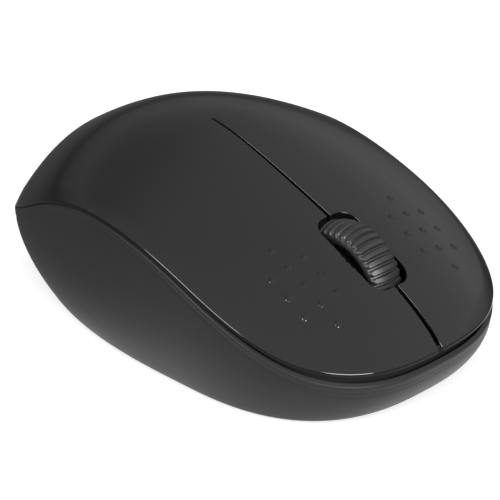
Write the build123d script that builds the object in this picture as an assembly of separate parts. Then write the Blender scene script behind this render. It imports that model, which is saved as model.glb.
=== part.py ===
from build123d import *
import math
import os

import numpy as np

# A cordless optical mouse, in millimetres.
#
# Frame: +Y is forward (the nose and the keys), +X is the user's right, +Z is up.
# The origin is the middle of the bounding box's bottom, so z = 0 is the desk under the feet.
#
# The outside is two simple shapes that cut each other. The envelope is a wall that stands on an
# egg-shaped outline and tucks in towards the desk. The dome is a height field that closes it.
# A thin glossy cover follows the dome; its front half is split by a slit into the two keys,
# which swing about the cover's thin bridge. Everything below the cover is the base.

# ---------------------------------------------------------------- envelope
BODY_LENGTH = 100.0
HALF_WIDTH = 29.9
WIDEST_Y = 14.9                 # where the outline is widest
FRONT_POWER = 2.61              # superellipse powers of the outline, ahead of and behind WIDEST_Y
REAR_POWER = 2.89
REAR_TAPER = 0.057              # how much the rear corners are drawn in, as a share of the half width
SIDE_TUCK = (20.9, 2.64, 3.7)   # height where the wall starts to tuck in, depth at z = 0, power
FRONT_TUCK = (10.0, 4.54, 2.31)
REAR_TUCK = (13.4, 9.27, 1.99)
WALL_LEVELS = (0.6, 2.6, 5.0, 8.0, 11.0, 14.0, 17.0, 20.0, 23.0, 26.0, 30.0, 36.0, 42.0)
QUARTER_STEPS = 9

# ---------------------------------------------------------------- dome
CROWN_STATIONS = ((-50.0, 9.1), (-44.0, 22.2), (-36.0, 29.9), (-22.0, 36.5), (-5.0, 37.2),
                  (12.0, 31.9), (30.0, 24.3), (42.0, 17.6), (50.0, 11.9))
DROP_X = 28.0                   # the dome has fallen by side_drop(y) at this distance from the middle
DROP_STATIONS = ((-35, 17.5), (0, 6.66), (35, 6.69))
DROP_POWER = 2.29
DROP_POWER_CHANGE = 0.357       # the sides are squarer towards the nose
NOSE_BEND = (43.0, 50.0, 0.84)  # the nose bends down from the first y, by this much at the second
DOME_GRID_X = np.linspace(-34, 34, 29)
DOME_GRID_Y = np.linspace(-54, 54, 55)
DOME_TOLERANCE = 0.004

# ---------------------------------------------------------------- shells
COVER_RIM = 1.2                 # height of the cover's edge
COVER_INNER = 2.0               # vertical thickness of the cover inside its edge
COVER_STEP = 2.4                # width of the thin edge
GAP_STATIONS = ((-50, 0.3), (-35, 0.3), (-10, 0.45), (10, 0.75), (30, 1.2), (45, 2.0), (54, 2.4))
BASE_WALL = 2.0
BASE_BOTTOM = 0.6
FLOOR_TOP = 2.6
SKY = 60.0                      # taller than anything in the mouse
WIDE = 60.0                     # beyond the mouse in plan
SINK = 0.5                      # how far a boss reaches into the floor it stands on

# ---------------------------------------------------------------- keys
SEAM_Y = -6.4                   # where the cover's thin bridge ends and the keys start
SEAM_GAP = 0.1
SLIT_STATIONS = ((-8.0, 0.35), (23.0, 0.7), (54.0, 0.9))   # y and full width of the slit
SLOT_REAR = 23.5
SLOT_FRONT = 39.4
SLOT_WIDTH = 8.8
SLOT_CORNER = 2.8
POST_Y = 30.0                   # the keys' posts press the switches here
POST_X = 13.0
POST_SIZE = (2.4, 4.0)
COVER_POST = (2.6, 1.05, 16.0)  # the screw posts' radius, bore radius and bore top

# ---------------------------------------------------------------- wheel
WHEEL_Y = 28.2
WHEEL_Z = 16.5
WHEEL_RADIUS = 10.8
TYRE_WIDTH = 6.8
TYRE_CROWN = 1.0
TYRE_BORE = 8.6
RIM_INNER = 8.0
WEB_THICKNESS = 1.2
BOSS_RADIUS = 2.4
BOSS_HALF = 3.9
AXLE_RADIUS = 1.25
AXLE_HALF = 6.0
ENCODER_SLOTS = 24
ENCODER_RING = (5.6, 7.6)
ENCODER_SLOT_WIDTH = 0.9
RUNNING_FIT = 0.05
WHEEL_CUT = 0.8                 # room around the wheel in the keys
HUB_SIDE = 0.3                  # the hub is this much narrower than the tyre on each side

# ---------------------------------------------------------------- wheel carrier
PLATE_INNER = 4.2
PLATE_OUTER = 5.4
PIVOT_Y = 42.0
PIVOT_Z = 11.4
PIVOT_RADIUS = 1.1
PIVOT_HALF = 7.3
TAB_X = 13.0
TAB_Y = (15.3, 19.2)
TAB_Z = (13.0, 14.6)
REAR_BAR = ((15.3, 16.9), 11.3) # y, underside
FRONT_BAR = ((40.7, 43.3), (9.8, 13.0))
PLATE_PEAK = ((38.0, 31.4, 25.2, 21.0), 18.6)   # the side plate's top: y of its corners, height
ENCODER_Y = 34.0
ENCODER_Z = 13.0
ENCODER_HOLE = (3.0, 2.6)
ENCODER_X = (6.2, 8.6)
ENCODER_SIZE = (4.0, 14.8)      # length, top
ENCODER_DOME = 0.7
BRACKET_X = (5.8, 7.2)
BRACKET_Y = (40.4, 43.4)
BRACKET_TOP = 12.8
BRACKET_FLOOR = 9.2

# ---------------------------------------------------------------- electronics
BOARD_Z = (7.0, 8.6)
BOARD_RIGHT = ((22.0, 8.0), (23.5, 20.0), (21.5, 35.0), (12.5, 44.5))   # corners of its right side
WHEEL_WINDOW = (9.0, 17.6, 2.0) # width, length, corner
LENS_HOLE = 2.6
LED_HOLE = 3.0
BOARD_SCREW_HOLE = 1.1
SENSOR_Y = 11.7
LED_X = -11.0
LED_Z = 10.9
LED_RADIUS = 1.5
LED_BODY = (-2.6, 1.1)          # from LED_X
LED_FLANGE = (0.8, 1.8)         # length, radius
CLIP_X = (-2.5, 1.0)
CLIP_WIDTH = 5.0
CLIP_TOP = 13.2
CLIP_BORE = 1.55
SENSOR_SIZE = (9.6, 6.2)
SENSOR_TOP = 11.1
SENSOR_EDGE = 0.3
LENS_PLATE_X = (-15.0, 6.0)
LENS_PLATE_WIDTH = 7.4
LENS_PLATE_TOP = 3.4
LENS_TOP = 6.6
LENS_RADIUS = 2.2
LIGHT_PIPE = (4.0, 2.0)         # side, slope
SWITCH_SIZE = (5.8, 12.8, 6.0)
PLUNGER_SIZE = (1.3, 2.9, 1.4)
PLUNGER_PROUD = 0.7
SWITCH_EDGE = 0.4
POCKET_FIT = 0.3
POCKET_DEPTH = 1.6
TACT_XY = (11.5, 17.2)
TACT_SIZE = (6.0, 12.1)         # side, top
TACT_WELL = (1.75, 10.9)        # radius, floor
TACT_PLUNGER = (1.6, 11.5)      # radius, bottom
PRESS_GAP = 0.08                # air between a presser and its plunger
BOARD_SCREW_XY = ((-19.5, 11.0), (19.5, 11.0))
BOARD_SCREW = (0.95, 4.4)       # shank radius, tip
BOARD_BOSS = (2.4, 1.0, 4.0)    # radius, bore radius, bore bottom
BOARD_PEG_XY = (12.0, 39.5)
BOARD_PEG = 1.6
CASE_SCREW_XY = ((-19.5, -14.5), (19.5, -14.5))
CASE_SCREW = (1.0, 13.0)
CASE_SCREW_HEAD = (2.5, 4.0)    # low and high face
CASE_BOSS_TOP = 8.0             # where the base's bosses meet the cover's screw posts
CASE_BOSS = 3.2
CASE_WELL = (2.3, 4.0)          # the screw head's well: radius, top
CASE_BORE = (1.1, 9.0)
SCREW_HEAD = (2.1, 1.6)         # radius, height
CROSS = (0.6, 2.4, 0.6)         # the screws' cross slot: width, length, depth
POWER_XY = (-17.0, 22.0)
POWER_TRAVEL = 2.5
POWER_BODY = (4.4, 9.0, 3.8)    # width, length, underside
POWER_WELL = (1.8, 5.6, 5.4)
POWER_LEVER = (1.4, 1.8, (3.2, 5.1))
KNOB_CAP = ((3.6, 5.0), 0.7, (0.9, 2.7))        # size, corner, z
KNOB_FLANGE = (5.4, 6.6, (2.7, 3.2))
KNOB_RIBS = (-1.2, 0.0, 1.2)
KNOB_GROOVE = (2.6, 0.5, 0.4)   # width, length, depth
CONTROL_IC = ((-16.2, -7.2), (16.6, 20.6), 1.5)
RADIO_IC = ((17.0, 21.0), (29.0, 33.0), 0.9)
CRYSTAL = ((18.9, 22.8), (3.4, 8.0), 1.6, 3.2)  # centre, size, corner, height
CAPACITOR_X = -19.6
CAPACITOR_Y = (18.6, 23.4)
CAPACITOR_SIZE = (2.0, 5.0)     # radius, height

# ---------------------------------------------------------------- battery bay
CELL_RADIUS = 5.2
CELL_BODY = 43.5
CELL_BUTTON = (1.9, 1.0)
CELL_X = 5.4
CELL_Z = 8.15
BAY_REAR = -43.2
BAY_FRONT = 6.2
BAY_WALL = (12.2, 13.4)
BAY_END = 1.2
BAY_TOP = 11.0
BAY_FRONT_TOP = 11.6
CONTACT = 0.4
CONTACT_SIZE = (7.6, (3.6, 12.4))
TAIL_X = 7.4
TAIL_WIDTH = 2.0
TAIL_FRONT = 9.2
REAR_CONTACT = (9.0, (5.0, 11.4))
SPRING_WIRE = 0.25
SPRING_RADIUS = 2.6
SPRING_PITCH = 1.0
SPRING_TURNS = 3.6
DOOR_Z = (0.6, 2.4)
DOOR_HALF = 10.9
TONGUE = (11.9, 1.7)            # half width and underside of the door's side tongues
TONGUE_REAR = -40.0
RAIL_BOTTOM = 1.6
DOOR_GAP = 0.2
GRIP_Y = (-4.0, -6.2, -8.4, -10.6)              # grooves for the thumb
GRIP_GROOVE = (6.0, 0.9, 0.4)   # half width, length, depth

# ---------------------------------------------------------------- openings in the floor
WINDOW_SIZE = (8.0, 6.6)
WINDOW_CORNER = 1.5
KNOB_SLOT = (4.0, 8.0)
KNOB_SLOT_CORNER = 0.8

# ---------------------------------------------------------------- feet
FOOT_HEIGHT = 0.9
FOOT_RECESS = 0.3
FRONT_FOOT = (14.0, 5.0)
FRONT_FOOT_XY = (14.0, 34.0)
REAR_FOOT = (5.0, 13.0)
REAR_FOOT_XY = (15.0, -25.0)
FOOT_CORNER = 2.4


# ================================================================ helpers
def block(x, y, z):
    """A box between two values on each axis."""
    size = (x[1] - x[0], y[1] - y[0], z[1] - z[0])
    middle = ((x[0] + x[1]) / 2, (y[0] + y[1]) / 2, (z[0] + z[1]) / 2)
    return Pos(*middle) * Box(*size)


def around(centre, size):
    """A low and a high value, from a centre and a full size."""
    return centre - size / 2, centre + size / 2


def post(x, y, z, radius):
    """An upright cylinder between two heights."""
    return Pos(x, y, z[0]) * Cylinder(radius, z[1] - z[0], align=(Align.CENTER, Align.CENTER, Align.MIN))


def rod_x(x, y, z, radius):
    """A cylinder along X between two values of x."""
    return Pos((x[0] + x[1]) / 2, y, z) * Rot(0, 90, 0) * Cylinder(radius, x[1] - x[0])


def rod_y(x, y, z, radius):
    """A cylinder along Y between two values of y."""
    return Pos(x, (y[0] + y[1]) / 2, z) * Rot(90, 0, 0) * Cylinder(radius, y[1] - y[0])


def pad(centre_x, centre_y, size, corner, z):
    """An upright prism with a rounded rectangle for its outline."""
    outline = Pos(centre_x, centre_y, z[0]) * RectangleRounded(size[0], size[1], corner)
    return extrude(outline, amount=z[1] - z[0], dir=(0, 0, 1))


def side_plate(points, x):
    """A flat plate whose outline is given as (y, z) points, between two values of x."""
    outline = Polyline([(x[0], y, z) for y, z in points], close=True)
    return extrude(make_face(outline), amount=x[1] - x[0], dir=(1, 0, 0))


def mirrored(shape):
    return mirror(shape, about=Plane.YZ)


def stations(table, value):
    return float(np.interp(value, [row[0] for row in table], [row[1] for row in table]))


# ================================================================ outside shape
def spline_bends(table):
    """The second derivatives, at a table's rows, of the smooth curve through them."""
    at = np.array([row[0] for row in table])
    value = np.array([row[1] for row in table])
    step = np.diff(at)
    slope = np.diff(value) / step
    matrix = np.eye(len(table))
    turn = np.zeros(len(table))
    for i in range(1, len(table) - 1):
        matrix[i, i - 1:i + 2] = (step[i - 1], 2 * (step[i - 1] + step[i]), step[i])
        turn[i] = 6 * (slope[i] - slope[i - 1])
    return np.linalg.solve(matrix, turn)


def spline(table, bends, place):
    """The smooth curve's value at a place."""
    at = [row[0] for row in table]
    i = int(np.clip(np.searchsorted(at, place) - 1, 0, len(at) - 2))
    step = at[i + 1] - at[i]
    far = (at[i + 1] - place) / step
    near = 1 - far
    bulge = (far ** 3 - far) * bends[i] + (near ** 3 - near) * bends[i + 1]
    return far * table[i][1] + near * table[i + 1][1] + bulge * step ** 2 / 6


CROWN_BENDS = spline_bends(CROWN_STATIONS)
DROP_CURVE = np.polyfit([y for y, z in DROP_STATIONS], [z for y, z in DROP_STATIONS], 2)


def nose_bend(y):
    start, end, depth = NOSE_BEND
    return depth * max(0.0, (y - start) / (end - start)) ** 2


def dome_height(x, y):
    power = DROP_POWER + DROP_POWER_CHANGE * 2 * y / BODY_LENGTH
    drop = np.polyval(DROP_CURVE, y) * (abs(x) / DROP_X) ** power
    return float(spline(CROWN_STATIONS, CROWN_BENDS, y) - drop - nose_bend(y))


def dome_surface(lowered):
    """The dome as one face, lowered by lowered(y)."""
    grid = []
    for x in DOME_GRID_X:
        grid.append([Vector(x, y, dome_height(x, y) - lowered(y)) for y in DOME_GRID_Y])
    return Face.make_surface_from_array_of_points(grid, tol=DOME_TOLERANCE)


def base_lowering(y):
    return COVER_RIM + stations(GAP_STATIONS, y)


def tuck(shape, z):
    height, depth, power = shape
    return depth * max(0.0, (height - z) / height) ** power


def taper(along):
    """The share of the width lost along the rear half, at -1 for the tail to 0 for the widest point."""
    reached = max(0.0, -along) ** REAR_POWER
    return 4 * REAR_TAPER * reached * (1 - reached)


def outline(z, inset):
    """The envelope's closed outline at height z, moved inwards by inset."""
    half_width = HALF_WIDTH - tuck(SIDE_TUCK, z) - inset
    front = BODY_LENGTH / 2 - WIDEST_Y - tuck(FRONT_TUCK, z) - inset
    rear = BODY_LENGTH / 2 + WIDEST_Y - tuck(REAR_TUCK, z) - inset
    edges = []
    for way, reach, power in ((1, front, FRONT_POWER), (-1, rear, REAR_POWER)):
        for side in (1, -1):
            points = []
            for step in range(QUARTER_STEPS + 1):
                angle = math.pi / 2 * step / QUARTER_STEPS
                across = (math.cos(angle) / half_width) ** power
                along = (math.sin(angle) / reach) ** power
                radius = (across + along) ** (-1 / power)
                drawn_in = taper(way * radius * math.sin(angle) / reach)
                x = side * radius * math.cos(angle) * (1 - drawn_in)
                y = WIDEST_Y + way * radius * math.sin(angle)
                points.append((x, y, z))
            points[-1] = (0, WIDEST_Y + way * reach, z)
            edges.append(Edge.make_spline(points, tangents=[(0, way, 0), (-side, 0, 0)]))
    return Wire(edges)


def envelope(inset, bottom=BASE_BOTTOM):
    """The solid inside the wall, moved inwards by inset, from bottom to above the dome."""
    levels = [bottom] + [z for z in WALL_LEVELS if z > bottom + 0.5]
    return Solid.make_loft([outline(z, inset) for z in levels])


def under_dome(thickness):
    """The layer of that vertical thickness under the dome."""
    return extrude(dome_surface(lambda y: 0.0), amount=-thickness, dir=(0, 0, 1))


# ================================================================ cover and keys
def cover_shell():
    edge = envelope(0) & under_dome(COVER_RIM)
    middle = envelope(COVER_STEP) & under_dome(COVER_INNER)
    return edge + middle


def slit_cutter():
    right = [(width / 2, y) for y, width in SLIT_STATIONS]
    left = [(-width / 2, y) for y, width in reversed(SLIT_STATIONS)]
    face = make_face(Polyline([(x, y, 0) for x, y in right + left], close=True))
    return extrude(face, amount=SKY, dir=(0, 0, 1))


def slot_cutter():
    length = SLOT_FRONT - SLOT_REAR
    return pad(0, (SLOT_FRONT + SLOT_REAR) / 2, (SLOT_WIDTH, length), SLOT_CORNER, (0, SKY))


def wheel_room():
    half = SLOT_WIDTH / 2
    return rod_x((-half, half), WHEEL_Y, WHEEL_Z, WHEEL_RADIUS + WHEEL_CUT)


def post_bottom():
    return BOARD_Z[1] + SWITCH_SIZE[2] + PLUNGER_PROUD + PRESS_GAP


def inside_cover():
    """The space under the middle of the cover's thickness."""
    return extrude(dome_surface(lambda y: COVER_INNER / 2), amount=-SKY, dir=(0, 0, 1))


def cover_posts():
    """Screw posts that hang from the cover down to the base's bosses."""
    radius, bore, bore_top = COVER_POST
    tubes = []
    for x, y in CASE_SCREW_XY:
        tubes.append(post(x, y, (CASE_BOSS_TOP, SKY), radius) - post(x, y, (0, bore_top), bore))
    return (tubes[0] + tubes[1]) & inside_cover()


def palm_cover(shell):
    behind = block((-WIDE, WIDE), (-WIDE, SEAM_Y - SEAM_GAP / 2), (0, SKY))
    return (shell & behind) + cover_posts()


def right_button(shell):
    ahead = block((0, WIDE), (SEAM_Y + SEAM_GAP / 2, WIDE), (0, SKY))
    key = (shell & ahead) - slit_cutter() - slot_cutter() - wheel_room()
    presser = block(around(POST_X, POST_SIZE[0]), around(POST_Y, POST_SIZE[1]), (post_bottom(), SKY))
    return key + (presser & inside_cover())


# ================================================================ base
def base_shell():
    below = extrude(dome_surface(base_lowering), amount=-SKY, dir=(0, 0, 1))
    cavity = envelope(BASE_WALL, FLOOR_TOP)
    shell = (envelope(0) & below) - cavity
    shell = shell + (bay_walls() & cavity)
    under_board = (FLOOR_TOP - SINK, BOARD_Z[0])
    radius, bore, bore_bottom = BOARD_BOSS
    for x, y in BOARD_SCREW_XY:
        shell = shell + (post(x, y, under_board, radius) - post(x, y, (bore_bottom, SKY), bore))
    for side in (-1, 1):
        shell = shell + post(side * BOARD_PEG_XY[0], BOARD_PEG_XY[1], under_board, BOARD_PEG)
    for x, y in CASE_SCREW_XY:
        shell = shell + post(x, y, (FLOOR_TOP - SINK, CASE_BOSS_TOP), CASE_BOSS)
        shell = shell - post(x, y, (0, CASE_WELL[1]), CASE_WELL[0])
        shell = shell - post(x, y, (0, CASE_BORE[1]), CASE_BORE[0])
    return shell - floor_openings()


def bay_walls():
    low = FLOOR_TOP - SINK
    across = (-BAY_WALL[1], BAY_WALL[1])
    side = block(BAY_WALL, (BAY_REAR - BAY_END, BAY_FRONT + BAY_END), (low, BAY_TOP))
    front = block(across, (BAY_FRONT, BAY_FRONT + BAY_END), (low, BAY_FRONT_TOP))
    rear = block(across, (BAY_REAR - BAY_END, BAY_REAR), (low, BAY_TOP))
    return side + mirrored(side) + front + rear


def floor_openings():
    """What is cut from the floor: door way, sensor window, switch slot, foot recesses."""
    low = block((-DOOR_HALF - DOOR_GAP, DOOR_HALF + DOOR_GAP), (-WIDE, BAY_FRONT), (0, FLOOR_TOP))
    rail = TONGUE[0] + DOOR_GAP
    rails = block((-rail, rail), (-WIDE, BAY_FRONT), (RAIL_BOTTOM, FLOOR_TOP))
    window = pad(0, SENSOR_Y, WINDOW_SIZE, WINDOW_CORNER, (0, FLOOR_TOP))
    switch = pad(POWER_XY[0], POWER_XY[1], KNOB_SLOT, KNOB_SLOT_CORNER, (0, FLOOR_TOP))
    cut = low + rails + window + switch
    for foot in feet().values():
        cut = cut + foot
    return cut


def battery_door():
    plate = block((-DOOR_HALF, DOOR_HALF), (-WIDE, BAY_FRONT - DOOR_GAP), DOOR_Z)
    tongues = block((-TONGUE[0], TONGUE[0]), (TONGUE_REAR, BAY_FRONT - DOOR_GAP), (TONGUE[1], DOOR_Z[1]))
    door = (plate + tongues) & envelope(0)
    half, length, depth = GRIP_GROOVE
    for y in GRIP_Y:
        door = door - block((-half, half), (y, y + length), (0, DOOR_Z[0] + depth))
    return door


def feet():
    z = (0, FOOT_HEIGHT)
    shapes = {}
    for name, side in (("left", -1), ("right", 1)):
        x, y = FRONT_FOOT_XY
        shapes["foot_front_" + name] = pad(side * x, y, FRONT_FOOT, FOOT_CORNER, z)
        x, y = REAR_FOOT_XY
        shapes["foot_rear_" + name] = pad(side * x, y, REAR_FOOT, FOOT_CORNER, z)
    return shapes


# ================================================================ batteries
def battery(side, button_way):
    """One AAA cell. Its button points forward when button_way is 1, rearward when it is -1."""
    radius, length = CELL_BUTTON
    if button_way > 0:
        tip = BAY_FRONT - CONTACT
    else:
        tip = BAY_REAR + CONTACT
    shoulder = tip - button_way * length
    end = shoulder - button_way * CELL_BODY
    body = rod_y(side * CELL_X, sorted((shoulder, end)), CELL_Z, CELL_RADIUS)
    button = rod_y(side * CELL_X, sorted((tip, shoulder)), CELL_Z, radius)
    return body + button


def battery_spring(side, y, way):
    """A contact spring that stands on a plate at y and pushes along way."""
    path = Helix(SPRING_PITCH, SPRING_PITCH * SPRING_TURNS, SPRING_RADIUS)
    section = Plane(origin=path @ 0, z_dir=path % 0) * Circle(SPRING_WIRE)
    coil = sweep(section, path=path)
    turned = Rot(-90 * way, 0, 0) * coil
    return Pos(side * CELL_X, y + way * SPRING_WIRE, CELL_Z) * turned


def battery_springs():
    return [battery_spring(-1, BAY_REAR + CONTACT, 1), battery_spring(1, BAY_FRONT - CONTACT, -1)]


def front_contact(side):
    """A plate in front of a cell, with a tail over the wall to the board."""
    width, (bottom, top) = CONTACT_SIZE
    plate = block(around(side * CELL_X, width), (BAY_FRONT - CONTACT, BAY_FRONT), (bottom, top))
    tail_x = around(side * TAIL_X, TAIL_WIDTH)
    over = block(tail_x, (BAY_FRONT - CONTACT, TAIL_FRONT), (top - CONTACT, top))
    down = block(tail_x, (TAIL_FRONT - CONTACT, TAIL_FRONT), (BOARD_Z[1], top))
    return plate + over + down


def rear_contact_plate():
    half, z = REAR_CONTACT
    return block((-half, half), (BAY_REAR, BAY_REAR + CONTACT), z)


# ================================================================ board and what is on it
def circuit_board():
    corners = [(-x, y) for x, y in BOARD_RIGHT] + [(x, y) for x, y in reversed(BOARD_RIGHT)]
    face = make_face(Polyline([(x, y, BOARD_Z[0]) for x, y in corners], close=True))
    board = extrude(face, amount=BOARD_Z[1] - BOARD_Z[0], dir=(0, 0, 1))
    board = board - pad(0, WHEEL_Y, WHEEL_WINDOW[:2], WHEEL_WINDOW[2], (0, SKY))
    board = board - post(0, SENSOR_Y, (0, SKY), LENS_HOLE)
    board = board - block(around(LED_X, LED_HOLE), around(SENSOR_Y, LED_HOLE), (0, SKY))
    for x, y in BOARD_SCREW_XY:
        board = board - post(x, y, (0, SKY), BOARD_SCREW_HOLE)
    return board


def screw(x, y, head_z, shank_size, point_up):
    """A pan-head screw with a cross slot. head_z is the head's low and high face."""
    under = head_z[1] if point_up else head_z[0]
    radius, tip = shank_size
    shank = post(x, y, sorted((under, tip)), radius)
    width, length, depth = CROSS
    slot_z = (head_z[0], head_z[0] + depth) if point_up else (head_z[1] - depth, head_z[1])
    slot = block(around(x, width), around(y, length), slot_z)
    slot = slot + block(around(x, length), around(y, width), slot_z)
    return post(x, y, head_z, SCREW_HEAD[0]) + shank - slot


def board_screws():
    head_z = (BOARD_Z[1], BOARD_Z[1] + SCREW_HEAD[1])
    return [screw(x, y, head_z, BOARD_SCREW, False) for x, y in BOARD_SCREW_XY]


def case_screws():
    return [screw(x, y, CASE_SCREW_HEAD, CASE_SCREW, True) for x, y in CASE_SCREW_XY]


def key_switch():
    """The right key's switch. Its plunger slides in a pocket."""
    top = BOARD_Z[1] + SWITCH_SIZE[2]
    body = block(around(POST_X, SWITCH_SIZE[0]), around(POST_Y, SWITCH_SIZE[1]), (BOARD_Z[1], top))
    body = chamfer(body.edges().filter_by(Axis.Y).group_by(Axis.Z)[-1], SWITCH_EDGE)
    pocket_x = around(POST_X, PLUNGER_SIZE[0] + POCKET_FIT)
    pocket_y = around(POST_Y, PLUNGER_SIZE[1] + POCKET_FIT)
    return body - block(pocket_x, pocket_y, (top - POCKET_DEPTH, top))


def key_plunger():
    top = BOARD_Z[1] + SWITCH_SIZE[2] + PLUNGER_PROUD
    z = (top - PLUNGER_SIZE[2], top)
    return block(around(POST_X, PLUNGER_SIZE[0]), around(POST_Y, PLUNGER_SIZE[1]), z)


def middle_switch():
    x, y = TACT_XY
    side, top = TACT_SIZE
    body = block(around(x, side), around(y, side), (BOARD_Z[1], top))
    return body - post(x, y, (TACT_WELL[1], top), TACT_WELL[0])


def middle_switch_plunger():
    x, y = TACT_XY
    radius, bottom = TACT_PLUNGER
    return post(x, y, (bottom, TAB_Z[0] - PRESS_GAP), radius)


def sensor_ic():
    body = block(around(0, SENSOR_SIZE[0]), around(SENSOR_Y, SENSOR_SIZE[1]), (BOARD_Z[1], SENSOR_TOP))
    return chamfer(body.edges().group_by(Axis.Z)[-1], SENSOR_EDGE)


def sensor_lens():
    """The clear plate over the window, with the lens and the light pipe from the lamp."""
    plate = block(LENS_PLATE_X, around(SENSOR_Y, LENS_PLATE_WIDTH), (FLOOR_TOP, LENS_PLATE_TOP))
    z = (LENS_PLATE_TOP, LENS_TOP)
    lens = post(0, SENSOR_Y, z, LENS_RADIUS)
    side, slope = LIGHT_PIPE
    pipe = block(around(LED_X, side), around(SENSOR_Y, side), z)
    ramp = chamfer(pipe.edges().filter_by(Axis.Y).sort_by(Axis.Z)[-1], slope)
    return plate + lens + ramp


def sensor_led():
    rear, front = LED_X + LED_BODY[0], LED_X + LED_BODY[1]
    body = rod_x((rear, front), SENSOR_Y, LED_Z, LED_RADIUS)
    flange = rod_x((rear - LED_FLANGE[0], rear), SENSOR_Y, LED_Z, LED_FLANGE[1])
    tip = Pos(front, SENSOR_Y, LED_Z) * Sphere(LED_RADIUS)
    return body + flange + tip


def led_clip():
    x = (LED_X + CLIP_X[0], LED_X + CLIP_X[1])
    body = block(x, around(SENSOR_Y, CLIP_WIDTH), (BOARD_Z[1], CLIP_TOP))
    return body - rod_x(x, SENSOR_Y, LED_Z, CLIP_BORE)


def encoder_block(side):
    """The lamp or the eye beside the wheel's slotted web."""
    length, top = ENCODER_SIZE
    across = sorted((side * ENCODER_X[0], side * ENCODER_X[1]))
    body = block(across, around(ENCODER_Y, length), (BOARD_Z[1], top))
    dome = Pos(side * ENCODER_X[0], ENCODER_Y, ENCODER_Z) * Sphere(ENCODER_DOME)
    return body + dome


def power_switch():
    x, y = POWER_XY
    width, length, bottom = POWER_BODY
    body = block(around(x, width), around(y, length), (bottom, BOARD_Z[0]))
    width, length, top = POWER_WELL
    return body - block(around(x, width), around(y, length), (bottom, top))


def power_off():
    """Where the lever and knob stand when the switch is off."""
    return POWER_XY[0], POWER_XY[1] - POWER_TRAVEL / 2


def power_lever():
    x, y = power_off()
    width, length, z = POWER_LEVER
    return block(around(x, width), around(y, length), z)


def power_knob():
    x, y = power_off()
    size, corner, z = KNOB_CAP
    cap = pad(x, y, size, corner, z)
    width, length, depth = KNOB_GROOVE
    for row in KNOB_RIBS:
        cap = cap - block(around(x, width), around(y + row, length), (z[0], z[0] + depth))
    width, length, z = KNOB_FLANGE
    return cap + block(around(x, width), around(y, length), z)


def on_board(height):
    return BOARD_Z[1], BOARD_Z[1] + height


def chips():
    (x, y), size, corner, height = CRYSTAL
    return {
        "control_ic": block(CONTROL_IC[0], CONTROL_IC[1], on_board(CONTROL_IC[2])),
        "radio_ic": block(RADIO_IC[0], RADIO_IC[1], on_board(RADIO_IC[2])),
        "crystal": pad(x, y, size, corner, on_board(height)),
    }


def capacitors():
    radius, height = CAPACITOR_SIZE
    return [post(CAPACITOR_X, y, on_board(height), radius) for y in CAPACITOR_Y]


# ================================================================ wheel and carrier
def wheel_tyre():
    half = TYRE_WIDTH / 2
    shoulder = WHEEL_RADIUS - TYRE_CROWN
    side = Line((half, TYRE_BORE), (half, shoulder))
    crown = ThreePointArc((half, shoulder), (0, WHEEL_RADIUS), (-half, shoulder))
    other = Line((-half, shoulder), (-half, TYRE_BORE))
    bottom = Line((-half, TYRE_BORE), (half, TYRE_BORE))
    ring = revolve(make_face([side, crown, other, bottom]), axis=Axis.X)
    return Pos(0, WHEEL_Y, WHEEL_Z) * ring


def wheel_hub():
    half = TYRE_WIDTH / 2 - HUB_SIDE
    rim = rod_x((-half, half), 0, 0, TYRE_BORE) - rod_x((-half, half), 0, 0, RIM_INNER)
    web = rod_x((-WEB_THICKNESS / 2, WEB_THICKNESS / 2), 0, 0, (RIM_INNER + TYRE_BORE) / 2)
    for index in range(ENCODER_SLOTS):
        middle = sum(ENCODER_RING) / 2
        length = ENCODER_RING[1] - ENCODER_RING[0]
        window = Pos(0, middle, 0) * Box(2 * WEB_THICKNESS, length, ENCODER_SLOT_WIDTH)
        web = web - Rot(360 / ENCODER_SLOTS * index, 0, 0) * window
    boss = rod_x((-BOSS_HALF, BOSS_HALF), 0, 0, BOSS_RADIUS)
    axle = rod_x((-AXLE_HALF, AXLE_HALF), 0, 0, AXLE_RADIUS)
    return Pos(0, WHEEL_Y, WHEEL_Z) * (rim + web + boss + axle)


def wheel_carrier():
    rear_y, rear_bottom = REAR_BAR
    front_y, (front_bottom, front_top) = FRONT_BAR
    (foot_y, high_front, high_rear, low_y), peak = PLATE_PEAK
    profile = [(rear_y[0], rear_bottom), (low_y, front_bottom), (front_y[1], front_bottom),
               (front_y[1], front_top), (foot_y, front_top), (high_front, peak), (high_rear, peak),
               (low_y, TAB_Z[1]), (rear_y[0], TAB_Z[1])]
    plate = side_plate(profile, (PLATE_INNER, PLATE_OUTER))
    plate = plate - rod_x((0, PIVOT_HALF), WHEEL_Y, WHEEL_Z, AXLE_RADIUS + RUNNING_FIT)
    hole_y, hole_z = around(ENCODER_Y, ENCODER_HOLE[0]), around(ENCODER_Z, ENCODER_HOLE[1])
    plate = plate - block((0, PIVOT_HALF), hole_y, hole_z)
    rear_bar = block((-PLATE_OUTER, PLATE_OUTER), rear_y, (rear_bottom, TAB_Z[1]))
    front_bar = block((-PLATE_OUTER, PLATE_OUTER), front_y, (front_bottom, front_top))
    tab = block((PLATE_INNER, TAB_X), TAB_Y, TAB_Z)
    pins = rod_x((-PIVOT_HALF, PIVOT_HALF), PIVOT_Y, PIVOT_Z, PIVOT_RADIUS)
    return plate + mirrored(plate) + rear_bar + front_bar + tab + pins


def carrier_bracket():
    """Two ears on the board that hold the carrier's pivot pins."""
    ear = block(BRACKET_X, BRACKET_Y, (BOARD_Z[1], BRACKET_TOP))
    ear = ear - rod_x(BRACKET_X, PIVOT_Y, PIVOT_Z, PIVOT_RADIUS + RUNNING_FIT)
    floor = block((-BRACKET_X[1], BRACKET_X[1]), BRACKET_Y, (BOARD_Z[1], BRACKET_FLOOR))
    return floor + ear + mirrored(ear)


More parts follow.
